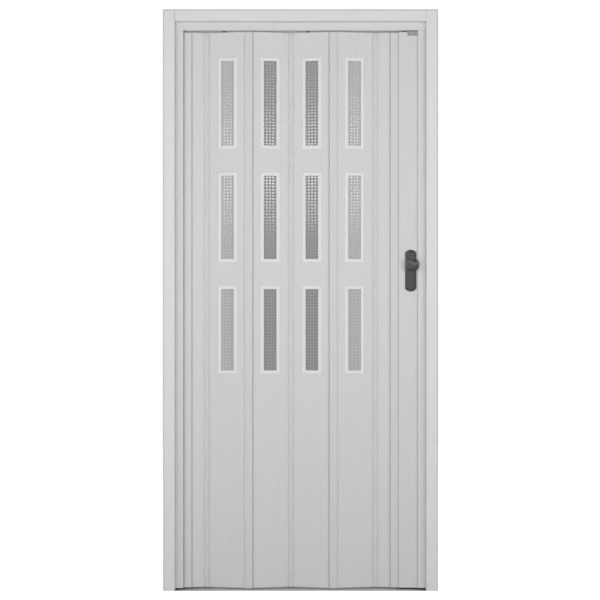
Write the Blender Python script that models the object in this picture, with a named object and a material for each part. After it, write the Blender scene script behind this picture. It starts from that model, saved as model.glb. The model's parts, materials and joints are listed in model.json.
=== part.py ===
"""Accordion door in its casing: hollow hinged panels with three windows each, hung from a top track.

Metres, +Z up, +X to the right as seen from the front, the front towards -Y. The origin lies on the
floor in the middle of the casing. The door is drawn shut, with its panels still slightly folded.
"""

from math import asin, atan2, cos, hypot, pi, radians, sin, sqrt

import bmesh
import bpy
from mathutils import Matrix, Vector

# Clearances
FIT = 0.0003                # gap between pieces that rest on each other
SOCKET_GAP = 0.0003         # running gap round a hinge bead
RUN_GAP = 0.0003            # running gap round an axle or a pin

# Casing of hollow extrusions round the doorway
CLEAR_WIDTH = 0.830         # between the wall channels
CASING_FACE = 0.042         # width seen from the front
CASING_DEPTH = 0.090
CASING_WALL = 0.003
CASING_ROUND = 0.003        # corners towards the doorway
CASING_EDGE = 0.008         # corners round the outside
FLOOR_GAP = 0.005           # under the door leaf and the wall channels
TOP_GAP = 0.005             # between the door leaf and the track
DOOR_HEIGHT = 1.970         # length of the panels

# Folding panels and the hinge strips between them
WHOLE_PANELS = 4
HALF_AXIS = 0.058           # hinge bead to hinge bead on a half panel
PANEL_THICK = 0.010
PANEL_WALL = 0.0012
PANEL_ROUND = 0.0012
BEAD_RADIUS = 0.0026        # round bead along a panel's edge
NECK_THICK = 0.0016         # web that carries the bead
SOCKET_WALL = 0.0015
SOCKET_SPACE = 0.0012       # least gap between a strip's two sockets
BODY_SPACE = 0.0019         # gap between a socket and the panel's body
COVER_WIDTH = 0.028         # flat face of a hinge strip
COVER_THICK = 0.002
COVER_SPACE = 0.0008        # gap between a flat panel and the cover
COVER_ROUND = 0.0008
STRIP_SHORT = 0.002         # a strip ends this far below the panels' tops
FOLD_REST = radians(10)     # each panel's angle to the track with the door shut
FOLD_MOST = radians(80)     # the same with the door stacked open

# Windows
WINDOW_WIDTH = 0.045
WINDOW_HEIGHTS = {"top": 0.300, "middle": 0.295, "bottom": 0.288}
WINDOW_DROP = 0.101         # panel top to the highest window
WINDOW_SPACE = 0.108        # between one window and the next
FRAME_WIDTH = 0.0125        # bead frame round a window
FRAME_PROUD = 0.0030        # crown of the bead above the panel
FRAME_SHOULDER = 0.0025     # height at the top of its chamfers
FRAME_EDGE = 0.0015         # height of its upright edges
FRAME_CHAMFER = 0.0016
FRAME_SLEEVE = 0.0012       # lip that lines the cut-out
PANE_THICK = 0.003
PANE_LAP = 0.006            # pane beyond the window on each side
PANE_PLAY = 0.0006          # beside the pane in its chamber

# Lead post, wall channels and track
LEAD_WIDTH = 0.0794
LEAD_DEPTH = 0.032
LEAD_WALL = 0.002
LEAD_ROUND = 0.003
LEAD_INSET = 0.012          # nose of the lead post inside its channel
CHANNEL_WALL = 0.002
CHANNEL_PLAY = 0.004        # beside the lead post on either side
CHANNEL_RIB = 0.003
LIP_GAP = 0.0005            # beside the outer edges of the first and the last strip's covers
TRACK_WALL = 0.002
TRACK_SLOT = 0.014
TRACK_ROUND = 0.0015
SKIRT_GAP = 0.001           # under the track's rear skirt, above the door leaf

# Trolleys
WHEEL_RADIUS = 0.008
WHEEL_WIDTH = 0.006
WHEEL_ROUND = 0.001
WHEEL_HEADROOM = 0.008      # above the wheels, inside the track
WHEEL_HUB = 0.0038          # radius of the hub beside the carriage
WHEEL_SPACE = 0.0005        # between a hub and its carriage
AXLE_RADIUS = 0.002
AXLE_END = 0.001            # axle beyond its wheels
CARRIAGE_LENGTH = 0.022
CARRIAGE_WIDTH = 0.013
CARRIAGE_ROUND = 0.003
CARRIAGE_LIFT = 0.0015      # above the track's flanges
CARRIAGE_CROWN = 0.003      # above the axle
STEM_RADIUS = 0.005
PIN_RADIUS = 0.003
PIN_LENGTH = 0.024
PLUG_WIDTH = 0.020          # solid top of a panel that takes a pin
PLUG_DEPTH = 0.030
LEAD_STEM = 0.021           # lead post's left side to its trolley
LEAD_PEG = 0.0646           # lead post's left side to its guide peg
BRACKET_THICK = 0.002
BRACKET_DEPTH = 0.012
BRACKET_START = 0.0314      # lead post's left side to the bracket's front leaf
BRACKET_LEAF = 0.015        # how far the leaf hangs down in front
BRACKET_MARGIN = 0.008      # plate beyond the stem and the peg

# Lock and handles
SPINDLE_HEIGHT = 1.150      # above the floor
SPINDLE_INSET = 0.0430      # lead post's left side to the spindle
SPINDLE_SIDE = 0.008
PLATE_WIDTH = 0.040
PLATE_HEIGHT = 0.148
PLATE_THICK = 0.005
PLATE_ARCH = 0.0102         # rise of the plate's curved ends
PLATE_EDGE = 0.0012
PLATE_DROP = 0.021          # spindle above the plate's centre
GRIP_REACH = 0.0277         # spindle to the rounded end of the grip
GRIP_BACK = 0.0212          # spindle to the blunt end
GRIP_HEIGHT = 0.040
GRIP_THICK = 0.014
GRIP_CORNER = 0.005         # corners of the blunt end
GRIP_NOSE = 0.016           # corners of the rounded end
GRIP_EDGE = 0.003
GRIP_STANDOFF = 0.010       # finger gap between grip and plate
GRIP_HUB = 0.011            # radius of the boss between them
LATCH_TURN = radians(65)    # from drawn back to hooked
HOOK_ARM = 0.008
HOOK_THICK = 0.004
HOOK_HUB = 0.008
HOOK_CLAW = radians(16)     # angle that the claw spans below the arm's middle
HOOK_CLEAR = 0.0006
HOOK_TIP_GAP = 0.0012       # between the hook's tip and the channel's web
HOOK_ROOM = 0.008           # behind the strike plate
STRIKE_PLAY = 0.002         # round the hook in the strike's slot
STRIKE_SPACE = 0.004        # between the lead post and the strike plate
STRIKE_WALL = 0.002
STRIKE_WIDTH = 0.030
STRIKE_MARGIN = 0.014       # plate above and below its slot

# Facets
ARC_STEP = radians(15)
ROUND_SIDES = 24

# Sizes that follow from those above
SOCKET_INNER = BEAD_RADIUS + SOCKET_GAP
SOCKET_OUTER = SOCKET_INNER + SOCKET_WALL
PIVOT_SPACING = max(PANEL_THICK, 2 * SOCKET_OUTER + SOCKET_SPACE)
BODY_START = SOCKET_OUTER + BODY_SPACE
COVER_IN = max(PANEL_THICK / 2, SOCKET_OUTER) + COVER_SPACE
COVER_OUT = COVER_IN + COVER_THICK
LEAD_NECK = (COVER_WIDTH - PIVOT_SPACING) / 2 + LIP_GAP
NECK_ANGLE = asin((NECK_THICK / 2 + SOCKET_GAP) / SOCKET_INNER)

LEAF_TOP = FLOOR_GAP + DOOR_HEIGHT
TRACK_BOTTOM = LEAF_TOP + TOP_GAP
TRACK_HEIGHT = 2 * TRACK_WALL + 2 * WHEEL_RADIUS + WHEEL_HEADROOM
TRACK_TOP = TRACK_BOTTOM + TRACK_HEIGHT
HEAD_BOTTOM = TRACK_TOP + FIT
FULL_HEIGHT = HEAD_BOTTOM + CASING_FACE
AXLE_HEIGHT = TRACK_BOTTOM + TRACK_WALL + RUN_GAP + WHEEL_RADIUS

CHANNEL_DEPTH = LEAD_DEPTH + 2 * (CHANNEL_PLAY + CHANNEL_WALL)
CHANNEL_WIDTH = LEAD_INSET + STRIKE_SPACE + STRIKE_WALL + HOOK_ROOM + CHANNEL_WALL
TRACK_INSIDE = CHANNEL_DEPTH / 2 - TRACK_WALL
WHEEL_MIDDLE = (TRACK_SLOT / 2 + TRACK_INSIDE) / 2
WHEEL_INSIDE = WHEEL_MIDDLE - WHEEL_WIDTH / 2

STRIP_SPAN = CLEAR_WIDTH - COVER_WIDTH - 2 * LIP_GAP - LEAD_WIDTH + LEAD_INSET
HALF_RUN = HALF_AXIS * cos(FOLD_REST)
PANEL_RUN = (STRIP_SPAN - 2 * (HALF_RUN + PIVOT_SPACING)) / WHOLE_PANELS - PIVOT_SPACING
PANEL_AXIS = PANEL_RUN / cos(FOLD_REST)
STRIP_RUNS = (HALF_RUN, *[PANEL_RUN] * WHOLE_PANELS, HALF_RUN)
LIP_LEFT = -CLEAR_WIDTH / 2
LIP_RIGHT = CLEAR_WIDTH / 2
CASING_INSIDE = CLEAR_WIDTH / 2 + CHANNEL_WIDTH + FIT
FULL_WIDTH = 2 * (CASING_INSIDE + CASING_FACE)

BACK_DEPTH = HALF_AXIS * sin(FOLD_REST)
FRONT_DEPTH = BACK_DEPTH - PANEL_AXIS * sin(FOLD_REST)
STRIP_DEPTHS = (0, *[BACK_DEPTH, FRONT_DEPTH] * (WHOLE_PANELS // 2), BACK_DEPTH, 0)

LEAD_LEFT = LIP_RIGHT + LEAD_INSET - LEAD_WIDTH
LEAD_RIGHT = LIP_RIGHT + LEAD_INSET
SPINDLE_X = LEAD_LEFT + SPINDLE_INSET
PLATE_IN = LEAD_DEPTH / 2 + FIT
PLATE_OUT = PLATE_IN + PLATE_THICK
GRIP_IN = PLATE_OUT + FIT + GRIP_STANDOFF
SPINDLE_HOLE = hypot(SPINDLE_SIDE, SPINDLE_SIDE) / 2 + RUN_GAP
STRIKE_FRONT = LEAD_RIGHT + STRIKE_SPACE
STRIKE_BACK = STRIKE_FRONT + STRIKE_WALL
CHANNEL_WEB = LIP_RIGHT + CHANNEL_WIDTH - CHANNEL_WALL
HOOK_INNER = (STRIKE_BACK - SPINDLE_X + HOOK_CLEAR) / cos(HOOK_CLAW)
HOOK_OUTER = CHANNEL_WEB - SPINDLE_X - HOOK_TIP_GAP


def strip_places():
    """Middle of each hinge strip, as (x, y), from the left channel to the lead post."""
    x = LIP_LEFT + LIP_GAP + COVER_WIDTH / 2
    places = [(x, STRIP_DEPTHS[0])]
    for run, depth in zip(STRIP_RUNS, STRIP_DEPTHS[1:]):
        x += PIVOT_SPACING + run
        places.append((x, depth))
    return places


STRIPS = strip_places()


def window_spans():
    """Name, bottom and top of each window, from the highest down."""
    spans = []
    top = LEAF_TOP - WINDOW_DROP
    for name, height in WINDOW_HEIGHTS.items():
        spans.append((name, top - height, top))
        top -= height + WINDOW_SPACE
    return spans


WINDOWS = window_spans()


# Materials

def finish(name, colour, roughness, metallic=0.0):
    material = bpy.data.materials.new(name)
    material.use_nodes = True
    shader = material.node_tree.nodes["Principled BSDF"]
    shader.inputs["Base Color"].default_value = (*colour, 1)
    shader.inputs["Roughness"].default_value = roughness
    shader.inputs["Metallic"].default_value = metallic
    return material


def finishes():
    return {
        "casing": finish("casing_white", (0.66, 0.66, 0.66), 0.45),
        "panel": finish("panel_white", (0.62, 0.62, 0.62), 0.5),
        "track": finish("track_white", (0.60, 0.60, 0.60), 0.4),
        "frame": finish("window_frame_white", (0.72, 0.72, 0.72), 0.4),
        "pane": finish("pane_grey", (0.40, 0.40, 0.40), 0.2),
        "handle": finish("handle_graphite", (0.075, 0.075, 0.075), 0.4),
        "trolley": finish("trolley_black", (0.03, 0.03, 0.03), 0.5),
        "steel": finish("steel_plain", (0.45, 0.45, 0.45), 0.35, 1.0),
    }


# Outlines

def arc(centre, radius, start, end):
    """Points on an arc, both ends included, turning from start to end."""
    steps = max(1, round(abs(end - start) / ARC_STEP))
    angles = [start + (end - start) * i / steps for i in range(steps + 1)]
    return [(centre[0] + radius * cos(a), centre[1] + radius * sin(a)) for a in angles]


def ring(centre, radius):
    angles = [2 * pi * i / ROUND_SIDES for i in range(ROUND_SIDES)]
    return [(centre[0] + radius * cos(a), centre[1] + radius * sin(a)) for a in angles]


def rectangle(low, high):
    return [(low[0], low[1]), (high[0], low[1]), (high[0], high[1]), (low[0], high[1])]


def cornered(low, high, radii):
    """A rectangle with a radius for each corner, anticlockwise from the lower left."""
    ways = ((low[0], 1, low[1], 1), (high[0], -1, low[1], 1), (high[0], -1, high[1], -1), (low[0], 1, high[1], -1))
    outline = []
    for turn, ((x, right, y, up), radius) in enumerate(zip(ways, radii)):
        start = pi + turn * pi / 2
        outline += arc((x + right * radius, y + up * radius), radius, start, start + pi / 2)
    return outline


def rounded(low, high, radius):
    return cornered(low, high, [radius] * 4)


def mirrored(points):
    """The same points on the other side of the vertical axis, in turned order."""
    return [(-x, y) for x, y in reversed(points)]


def hinge_bead(neck=BODY_START):
    """Bead and neck at a left edge: from the upper to the lower end of the neck."""
    half = NECK_THICK / 2
    root = asin(half / BEAD_RADIUS)
    return [(neck, half)] + arc((0, 0), BEAD_RADIUS, root, 2 * pi - root) + [(neck, -half)]


def panel_outline(axis):
    """A panel's section: a flat body with a hinge bead at either edge."""
    half = PANEL_THICK / 2
    right = axis - BODY_START
    far_bead = [(axis - x, y) for x, y in reversed(hinge_bead())]
    near_low = arc((BODY_START + PANEL_ROUND, PANEL_ROUND - half), PANEL_ROUND, pi, 1.5 * pi)
    far_low = arc((right - PANEL_ROUND, PANEL_ROUND - half), PANEL_ROUND, 1.5 * pi, 2 * pi)
    far_high = arc((right - PANEL_ROUND, half - PANEL_ROUND), PANEL_ROUND, 0, pi / 2)
    near_high = arc((BODY_START + PANEL_ROUND, half - PANEL_ROUND), PANEL_ROUND, pi / 2, pi)
    return hinge_bead() + near_low + far_low + far_bead + far_high + near_high


def panel_chambers(axis, middle):
    """Hollow chambers of a panel: one each side of a middle one, or a single one."""
    half = PANEL_THICK / 2 - PANEL_WALL
    left = BODY_START + PANEL_WALL
    right = axis - left
    if not middle:
        return [rectangle((left, -half), (right, half))]
    low = (axis - middle) / 2
    high = (axis + middle) / 2
    return [
        rectangle((left, -half), (low - PANEL_WALL, half)),
        rectangle((low, -half), (high, half)),
        rectangle((high + PANEL_WALL, -half), (right, half)),
    ]


def strip_outline():
    """A hinge strip's section: a flat cover on two open sockets, with the cover towards +Y."""
    half = COVER_WIDTH / 2
    pivot = (PIVOT_SPACING / 2, 0)
    mouth_high = NECK_ANGLE
    mouth_low = 2 * pi - FOLD_MOST - NECK_ANGLE
    web = SOCKET_WALL / 2
    shoulder = atan2(sqrt(SOCKET_OUTER ** 2 - web ** 2), web)
    right = arc((half - COVER_ROUND, COVER_OUT - COVER_ROUND), COVER_ROUND, pi / 2, 0)
    right += [(half, COVER_IN), (pivot[0] + web, COVER_IN)]
    right += arc(pivot, SOCKET_OUTER, shoulder, mouth_high)
    right += arc(pivot, SOCKET_INNER, mouth_high, mouth_low)
    right += arc(pivot, SOCKET_OUTER, mouth_low, pi)
    return right + mirrored(right)


# Solids

def place(across, along, axis):
    """A point of a section that is extruded along an axis."""
    if axis == "X":
        return (along, across[0], across[1])
    if axis == "Y":
        return (across[0], along, across[1])
    return (across[0], across[1], along)


def extrude(outlines, low, high, axis="Z"):
    """A prism of an outline, with any further outlines as holes through it."""
    solid = bmesh.new()
    edges = []
    for outline in outlines:
        corners = [solid.verts.new(place(point, low, axis)) for point in outline]
        edges += [solid.edges.new(pair) for pair in zip(corners, corners[1:] + corners[:1])]
    bmesh.ops.triangle_fill(solid, use_beauty=True, edges=edges)
    grown = bmesh.ops.extrude_face_region(solid, geom=solid.faces[:])["geom"]
    moved = [item for item in grown if isinstance(item, bmesh.types.BMVert)]
    bmesh.ops.translate(solid, vec=Vector(place((0, 0), high - low, axis)), verts=moved)
    bmesh.ops.recalc_face_normals(solid, faces=solid.faces)
    return solid


def turn(profile, axis):
    """A turned solid: a profile of (radius, height) whose two ends lie on the axis."""
    solid = bmesh.new()
    corners = [solid.verts.new((radius, 0, height)) for radius, height in profile]
    edges = [solid.edges.new(pair) for pair in zip(corners, corners[1:])]
    middle = (0, 0, 0)
    upright = (0, 0, 1)
    bmesh.ops.spin(solid, geom=corners + edges, cent=middle, axis=upright,
                   angle=2 * pi, steps=ROUND_SIDES, use_merge=True)
    bmesh.ops.remove_doubles(solid, verts=solid.verts, dist=1e-6)
    if axis == "Y":
        bmesh.ops.rotate(solid, verts=solid.verts, matrix=Matrix.Rotation(-pi / 2, 3, "X"))
    bmesh.ops.recalc_face_normals(solid, faces=solid.faces)
    return solid


def add(name, solid, material=None, location=(0, 0, 0), parent=None):
    """Puts a solid into the scene as an object of that name."""
    mesh = bpy.data.meshes.new(name)
    solid.to_mesh(mesh)
    solid.free()
    piece = bpy.data.objects.new(name, mesh)
    piece.location = location
    piece.parent = parent
    if material:
        mesh.materials.append(material)
    mesh.shade_smooth()
    mesh.set_sharp_from_angle(angle=radians(30))
    bpy.context.scene.collection.objects.link(piece)
    return piece


def helper(name, solid, parent):
    """A cutter or an added shape that is no piece of its own."""
    piece = add(name, solid, parent=parent)
    piece.hide_render = True
    piece.display_type = "WIRE"
    return piece


def shape(piece, operation, name, solid):
    """Cuts a solid from a piece, or joins it on. The solid is in the piece's own frame."""
    step = piece.modifiers.new(name, "BOOLEAN")
    step.operation = operation
    step.solver = "EXACT"
    step.object = helper(f"{piece.name}_{name}", solid, piece)


def cut(piece, name, solid):
    shape(piece, "DIFFERENCE", name, solid)


def join(piece, name, solid):
    shape(piece, "UNION", name, solid)


def soften(piece, width, angle=radians(40)):
    step = piece.modifiers.new("soften", "BEVEL")
    step.width = width
    step.segments = 2
    step.limit_method = "ANGLE"
    step.angle_limit = angle


# Casing, channels and track

def build_casing(look):
    half = CASING_DEPTH / 2
    overrun = CASING_WALL
    inner = CASING_EDGE - CASING_WALL
    spans = ((-half + CASING_WALL, -CASING_WALL / 2), (CASING_WALL / 2, half - CASING_WALL))
    left_radii = (CASING_EDGE, CASING_ROUND, CASING_ROUND, CASING_EDGE)
    right_radii = (CASING_ROUND, CASING_EDGE, CASING_EDGE, CASING_ROUND)
    crown = [(-half - overrun, FULL_HEIGHT - CASING_EDGE)]
    crown += arc((CASING_EDGE - half, FULL_HEIGHT - CASING_EDGE), CASING_EDGE, pi, pi / 2)
    crown += [(CASING_EDGE - half, FULL_HEIGHT + overrun), (-half - overrun, FULL_HEIGHT + overrun)]
    for name, left, radii in (("casing_left", -FULL_WIDTH / 2, left_radii),
                              ("casing_right", CASING_INSIDE, right_radii)):
        outline = cornered((0, -half), (CASING_FACE, half), radii)
        post = add(name, extrude([outline], 0, FULL_HEIGHT), look["casing"], (left, 0, 0))
        for side, (low, high) in zip(("front", "rear"), spans):
            chamber = rounded((CASING_WALL, low), (CASING_FACE - CASING_WALL, high), inner)
            cut(post, f"{side}_chamber", extrude([chamber], -overrun, FULL_HEIGHT - CASING_EDGE))
        for side, edge in (("front", crown), ("rear", mirrored(crown))):
            cut(post, f"{side}_crown", extrude([edge], -overrun, CASING_FACE + overrun, "X"))
    head_radii = (CASING_ROUND, CASING_ROUND, CASING_EDGE, CASING_EDGE)
    outline = cornered((-half, 0), (half, CASING_FACE), head_radii)
    chambers = [rounded((low, CASING_WALL), (high, CASING_FACE - CASING_WALL), inner) for low, high in spans]
    reach = CASING_INSIDE - FIT
    head = extrude([outline] + chambers, -reach, reach, "X")
    add("casing_head", head, look["casing"], (0, 0, HEAD_BOTTOM))


def build_channels(look):
    half = CHANNEL_DEPTH / 2
    inside = half - CHANNEL_WALL
    pivot = STRIPS[0][0] - PIVOT_SPACING / 2 - LIP_LEFT + CHANNEL_WIDTH
    bead = [(pivot - x, y) for x, y in reversed(hinge_bead())]
    rib = CHANNEL_RIB / 2
    neck = pivot - BODY_START
    left = [(0, -half), (CHANNEL_WIDTH, -half), (CHANNEL_WIDTH, -inside), (CHANNEL_WALL, -inside)]
    left += [(CHANNEL_WALL, -rib), (neck, -rib)] + bead + [(neck, rib), (CHANNEL_WALL, rib)]
    left += [(CHANNEL_WALL, inside), (CHANNEL_WIDTH, inside), (CHANNEL_WIDTH, half), (0, half)]
    place_left = (LIP_LEFT - CHANNEL_WIDTH, 0, 0)
    channel = add("channel_left", extrude([left], FLOOR_GAP, TRACK_TOP), look["panel"], place_left)
    aside = BEAD_RADIUS + FIT
    notch = rectangle((CHANNEL_WIDTH, -aside), (pivot + aside, aside))
    cut(channel, "track_notch", extrude([notch], TRACK_BOTTOM - FIT, TRACK_TOP + FIT))
    web = CHANNEL_WIDTH - CHANNEL_WALL
    right = [(0, -half), (CHANNEL_WIDTH, -half), (CHANNEL_WIDTH, half), (0, half)]
    right += [(0, inside), (web, inside), (web, -inside), (0, -inside)]
    strike_side = extrude([right], FLOOR_GAP, TRACK_BOTTOM - FIT)
    add("channel_right", strike_side, look["panel"], (LIP_RIGHT, 0, 0))


def build_track(look):
    half = CHANNEL_DEPTH / 2
    slot = TRACK_SLOT / 2
    top = TRACK_HEIGHT - TRACK_WALL
    right = arc((half - TRACK_ROUND, TRACK_ROUND), TRACK_ROUND, 1.5 * pi, 2 * pi) + [(half, TRACK_HEIGHT)]
    section = [(slot, 0)] + right + mirrored(right) + [(-slot, 0), (-slot, TRACK_WALL)]
    section += [(-TRACK_INSIDE, TRACK_WALL), (-TRACK_INSIDE, top), (TRACK_INSIDE, top)]
    section += [(TRACK_INSIDE, TRACK_WALL), (slot, TRACK_WALL)]
    start = LIP_LEFT + FIT
    solid = extrude([section], 0, LIP_RIGHT + CHANNEL_WIDTH - start, "X")
    track = add("track", solid, look["track"], (start, 0, TRACK_BOTTOM))
    skirt = rectangle((TRACK_INSIDE, SKIRT_GAP - TOP_GAP), (half, TRACK_ROUND))
    join(track, "skirt", extrude([skirt], 0, LIP_RIGHT - FIT - start, "X"))


# Door leaf

def build_strips(look):
    """Hinge strips, with their covers to the front and to the back by turns."""
    for number, (x, y) in enumerate(STRIPS):
        solid = extrude([strip_outline()], FLOOR_GAP, LEAF_TOP - STRIP_SHORT)
        strip = add(f"hinge_strip_{number}", solid, look["panel"], (x, y, 0))
        strip.rotation_euler.z = pi if number % 2 == 0 else 0


def hang(name, solid, look, number, fold):
    """Puts a panel's hinge bead into the right-hand socket of a strip."""
    x, y = STRIPS[number]
    panel = add(name, solid, look["panel"], (x + PIVOT_SPACING / 2, y, 0))
    panel.rotation_euler.z = fold
    return panel


def build_half_panels(look):
    sections = [panel_outline(HALF_AXIS)] + panel_chambers(HALF_AXIS, 0)
    last = WHOLE_PANELS + 1
    for name, number, fold in (("half_panel_left", 0, FOLD_REST), ("half_panel_right", last, -FOLD_REST)):
        hang(name, extrude(sections, FLOOR_GAP, LEAF_TOP), look, number, fold)


def window_frame(low, high):
    """A moulded bead frame round a window, lying in the XZ plane with its front towards -Y."""
    sleeve = PANEL_THICK / 2 - PANE_THICK / 2 - FIT
    section = [
        (0, sleeve),
        (FRAME_SLEEVE, sleeve),
        (FRAME_SLEEVE, -FIT),
        (FRAME_WIDTH, -FIT),
        (FRAME_WIDTH, -FRAME_EDGE),
        (FRAME_WIDTH - FRAME_CHAMFER, -FRAME_SHOULDER),
        (FRAME_WIDTH / 2, -FRAME_PROUD),
        (FRAME_CHAMFER, -FRAME_SHOULDER),
        (0, -FRAME_EDGE),
    ]
    solid = bmesh.new()
    loops = []
    for out, depth in section:
        half = WINDOW_WIDTH / 2 + out
        corners = ((-half, low - out), (half, low - out), (half, high + out), (-half, high + out))
        loops.append([solid.verts.new((x, depth, z)) for x, z in corners])
    for inner, outer in zip(loops, loops[1:] + loops[:1]):
        for i in range(4):
            solid.faces.new((inner[i], inner[i - 1], outer[i - 1], outer[i]))
    bmesh.ops.recalc_face_normals(solid, faces=solid.faces)
    return solid


def build_panel(look, number):
    """A whole panel with its cut-outs, its bead frames and its sliding pane."""
    middle = PANEL_AXIS / 2
    pane_width = WINDOW_WIDTH + 2 * PANE_LAP
    sections = [panel_outline(PANEL_AXIS)] + panel_chambers(PANEL_AXIS, pane_width + 2 * PANE_PLAY)
    fold = FOLD_REST if number % 2 == 0 else -FOLD_REST
    panel = hang(f"panel_{number}", extrude(sections, FLOOR_GAP, LEAF_TOP), look, number, fold)
    edge = FRAME_SLEEVE + FIT
    half = WINDOW_WIDTH / 2 + edge
    for name, low, high in WINDOWS:
        opening = rectangle((middle - half, low - edge), (middle + half, high + edge))
        cut(panel, f"{name}_opening", extrude([opening], -PANEL_THICK, PANEL_THICK, "Y"))
        for side, face, facing in (("front", -PANEL_THICK / 2, 0), ("rear", PANEL_THICK / 2, pi)):
            title = f"bead_{side}_{number}_{name}"
            frame = add(title, window_frame(low, high), look["frame"], (middle, face, 0), panel)
            frame.rotation_euler.z = facing
    low = WINDOWS[-1][1] - PANE_LAP
    high = WINDOWS[0][2] + PANE_LAP
    section = rectangle((-pane_width / 2, -PANE_THICK / 2), (pane_width / 2, PANE_THICK / 2))
    add(f"pane_{number}", extrude([section], low, high), look["pane"], (middle, 0, 0), panel)
    return panel


def plug_panel(panel):
    """Fills the top of a panel where its trolley's pin stands, and bores it."""
    half = PANEL_THICK / 2 - PANEL_WALL / 2
    block = rectangle((HALF_AXIS - PLUG_WIDTH / 2, -half), (HALF_AXIS + PLUG_WIDTH / 2, half))
    join(panel, "plug", extrude([block], LEAF_TOP - PLUG_DEPTH, LEAF_TOP))
    bore = ring((HALF_AXIS, 0), PIN_RADIUS + RUN_GAP)
    cut(panel, "bore", extrude([bore], LEAF_TOP - PIN_LENGTH - FIT, LEAF_TOP + FIT))


# Trolleys

def wheel_pair():
    """Two wheels on one axle, turned about the axle."""
    outside = WHEEL_INSIDE + WHEEL_WIDTH
    edge = WHEEL_RADIUS - WHEEL_ROUND
    hub = CARRIAGE_WIDTH / 2 + WHEEL_SPACE
    right = [
        (AXLE_RADIUS, hub),
        (WHEEL_HUB, hub),
        (WHEEL_HUB, WHEEL_INSIDE),
        (edge, WHEEL_INSIDE),
        (WHEEL_RADIUS, WHEEL_INSIDE + WHEEL_ROUND),
        (WHEEL_RADIUS, outside - WHEEL_ROUND),
        (edge, outside),
        (AXLE_RADIUS, outside),
        (AXLE_RADIUS, outside + AXLE_END),
        (0, outside + AXLE_END),
    ]
    left = [(radius, -height) for radius, height in reversed(right)]
    return turn(left + right, "Y")


def carriage_block():
    """The block that carries the axle, round its own stem's axis."""
    half = CARRIAGE_WIDTH / 2
    low = TRACK_BOTTOM + TRACK_WALL + CARRIAGE_LIFT
    high = AXLE_HEIGHT + AXLE_RADIUS + CARRIAGE_CROWN
    outline = rounded((-CARRIAGE_LENGTH / 2, low), (CARRIAGE_LENGTH / 2, high), CARRIAGE_ROUND)
    return extrude([outline, ring((0, AXLE_HEIGHT), AXLE_RADIUS + RUN_GAP)], -half, half, "Y")


def stem_solid(foot, pin):
    """The round stem under a carriage, with a pin below its foot where it has one."""
    top = TRACK_BOTTOM + TRACK_WALL + CARRIAGE_LIFT + CARRIAGE_ROUND / 2
    profile = [(0, top), (STEM_RADIUS, top), (STEM_RADIUS, foot)]
    if pin:
        profile += [(PIN_RADIUS, foot), (PIN_RADIUS, foot - pin), (0, foot - pin)]
    else:
        profile += [(0, foot)]
    return turn(profile, "Z")


def build_trolleys(look):
    """Trolleys in the panels that cross the track line at the same place at every fold."""
    for number in (1, 3):
        x = STRIPS[number][0] + PIVOT_SPACING / 2 + HALF_RUN
        carriage = add(f"carriage_{number}", carriage_block(), look["trolley"], (x, 0, 0))
        join(carriage, "stem", stem_solid(LEAF_TOP + FIT, PIN_LENGTH - FIT))
        add(f"wheels_{number}", wheel_pair(), look["trolley"], (x, 0, AXLE_HEIGHT))


def build_lead_hanger(look):
    """Bracket over the top of the lead post, with the trolley and a guide peg standing on it."""
    stem = LEAD_LEFT + LEAD_STEM
    peg = LEAD_PEG - LEAD_STEM
    start = BRACKET_START - LEAD_STEM
    low = LEAF_TOP + FIT
    high = low + BRACKET_THICK
    front = -LEAD_DEPTH / 2 - FIT
    hanger = add("lead_hanger", carriage_block(), look["steel"], (stem, 0, 0))
    join(hanger, "stem", stem_solid(low + BRACKET_THICK / 2, 0))
    plate = rectangle((-BRACKET_MARGIN, -BRACKET_DEPTH / 2), (peg + BRACKET_MARGIN, BRACKET_DEPTH / 2))
    join(hanger, "plate", extrude([plate], low, high))
    profile = [(front - BRACKET_THICK, high - BRACKET_LEAF), (front, high - BRACKET_LEAF), (front, low)]
    profile += [(0, low), (0, high), (front - BRACKET_THICK, high)]
    join(hanger, "leaf", extrude([profile], start, peg + BRACKET_MARGIN / 2, "X"))
    peg_top = TRACK_BOTTOM + TRACK_WALL + CARRIAGE_LIFT
    join(hanger, "peg", extrude([ring((peg, 0), STEM_RADIUS)], low + BRACKET_THICK / 2, peg_top))
    add("wheels_lead", wheel_pair(), look["trolley"], (stem, 0, AXLE_HEIGHT))


# Lead post and lock

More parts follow.
